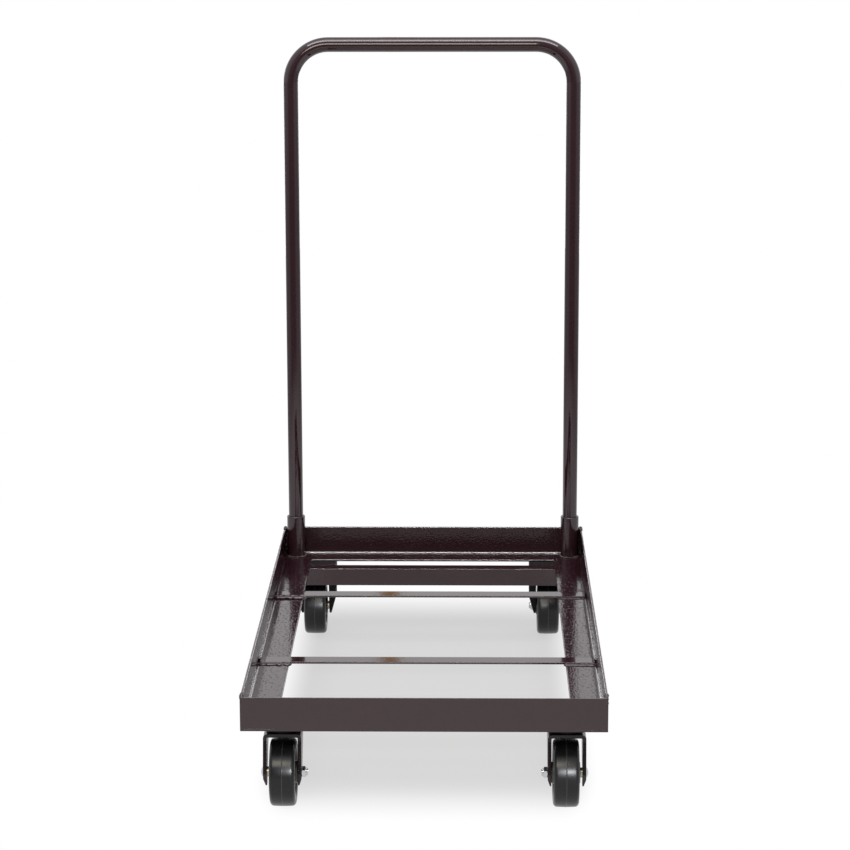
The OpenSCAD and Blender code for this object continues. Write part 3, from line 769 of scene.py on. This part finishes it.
def addWorld(setup):
    world = bpy.data.worlds.new("studio")
    scene.world = world
    world.use_nodes = True
    tree = world.node_tree
    link = tree.links.new
    back = tree.nodes["Background"]
    place = addNode(tree, "ShaderNodeTexCoord")
    split = addNode(tree, "ShaderNodeSeparateXYZ")
    link(place.outputs["Generated"], split.inputs[0])
    room = addRange(tree, *setup["roomTurn"], setup["darkSide"], setup["backdrop"], "SMOOTHSTEP")
    link(split.outputs["Y"], room.inputs["Value"])
    under = addRange(tree, *setup["underTurn"], setup["lowSide"], 1.0, "SMOOTHSTEP")
    link(split.outputs["Z"], under.inputs["Value"])
    around = addNode(tree, "ShaderNodeMath", operation="MULTIPLY")
    link(room.outputs[0], around.inputs[0])
    link(under.outputs[0], around.inputs[1])
    bearing = addNode(tree, "ShaderNodeMath", operation="DIVIDE")
    link(split.outputs["X"], bearing.inputs[0])
    link(split.outputs["Y"], bearing.inputs[1])
    post = addNode(tree, "ShaderNodeMath", operation="COMPARE")
    link(bearing.outputs[0], post.inputs[0])
    post.inputs[1].default_value = setup["postAt"]
    post.inputs[2].default_value = setup["postHalf"]
    behind = addNode(tree, "ShaderNodeMath", operation="GREATER_THAN")
    link(split.outputs["Y"], behind.inputs[0])
    behind.inputs[1].default_value = 0.0
    amber = addNode(tree, "ShaderNodeMath", operation="MULTIPLY")
    link(post.outputs[0], amber.inputs[0])
    link(behind.outputs[0], amber.inputs[1])
    wall = addNode(tree, "ShaderNodeMix", data_type="RGBA")
    link(amber.outputs[0], wall.inputs[0])
    wall.inputs[6].default_value = (*setup["tint"], 1)
    wall.inputs[7].default_value = (*setup["postTone"], 1)
    ray = addNode(tree, "ShaderNodeLightPath")
    mirror = addNode(tree, "ShaderNodeMath", operation="MAXIMUM")
    link(ray.outputs["Is Glossy Ray"], mirror.inputs[0])
    link(ray.outputs["Is Transmission Ray"], mirror.inputs[1])
    light = addNode(tree, "ShaderNodeMix", data_type="FLOAT")
    link(mirror.outputs[0], light.inputs[0])
    light.inputs[2].default_value = setup["ambient"]
    link(around.outputs[0], light.inputs[3])
    seen = addNode(tree, "ShaderNodeMix", data_type="FLOAT")
    link(ray.outputs["Is Camera Ray"], seen.inputs[0])
    link(light.outputs[0], seen.inputs[2])
    seen.inputs[3].default_value = 1.0
    tone = addNode(tree, "ShaderNodeMix", data_type="RGBA")
    link(ray.outputs["Is Camera Ray"], tone.inputs[0])
    link(wall.outputs[2], tone.inputs[6])
    tone.inputs[7].default_value = (1, 1, 1, 1)
    link(tone.outputs[2], back.inputs["Color"])
    link(seen.outputs[0], back.inputs["Strength"])


def addLamps(setups):
    for name, setup in setups.items():
        data = bpy.data.lights.new(name, "AREA")
        data.shape = "RECTANGLE"
        data.size, data.size_y = setup["size"]
        data.energy = setup["watts"]
        data.color = setup["tint"]
        lamp = bpy.data.objects.new(name, data)
        scene.collection.objects.link(lamp)
        lamp.visible_camera = False
        lamp.visible_diffuse = not setup.get("glintOnly", False)   # some only draw highlights
        if "onlyOn" in setup:
            lit = bpy.data.collections.new(name + "Lit")
            for thing in scene.objects:
                if any(part in thing.name for part in setup["onlyOn"]):
                    lit.objects.link(thing)
            lamp.light_linking.receiver_collection = lit
        lamp.location = setup["place"]
        lamp.rotation_mode = "QUATERNION"
        sight = Vector(setup["aim"]) - Vector(setup["place"])
        lamp.rotation_quaternion = sight.to_track_quat("-Z", "Y")


addFloor(floorSetup)
addWorld(worldSetup)
addLamps(lampSetup)
scene.view_settings.view_transform = "Standard"
print("floor, world and lamps set")

bpy.context.view_layer.update()
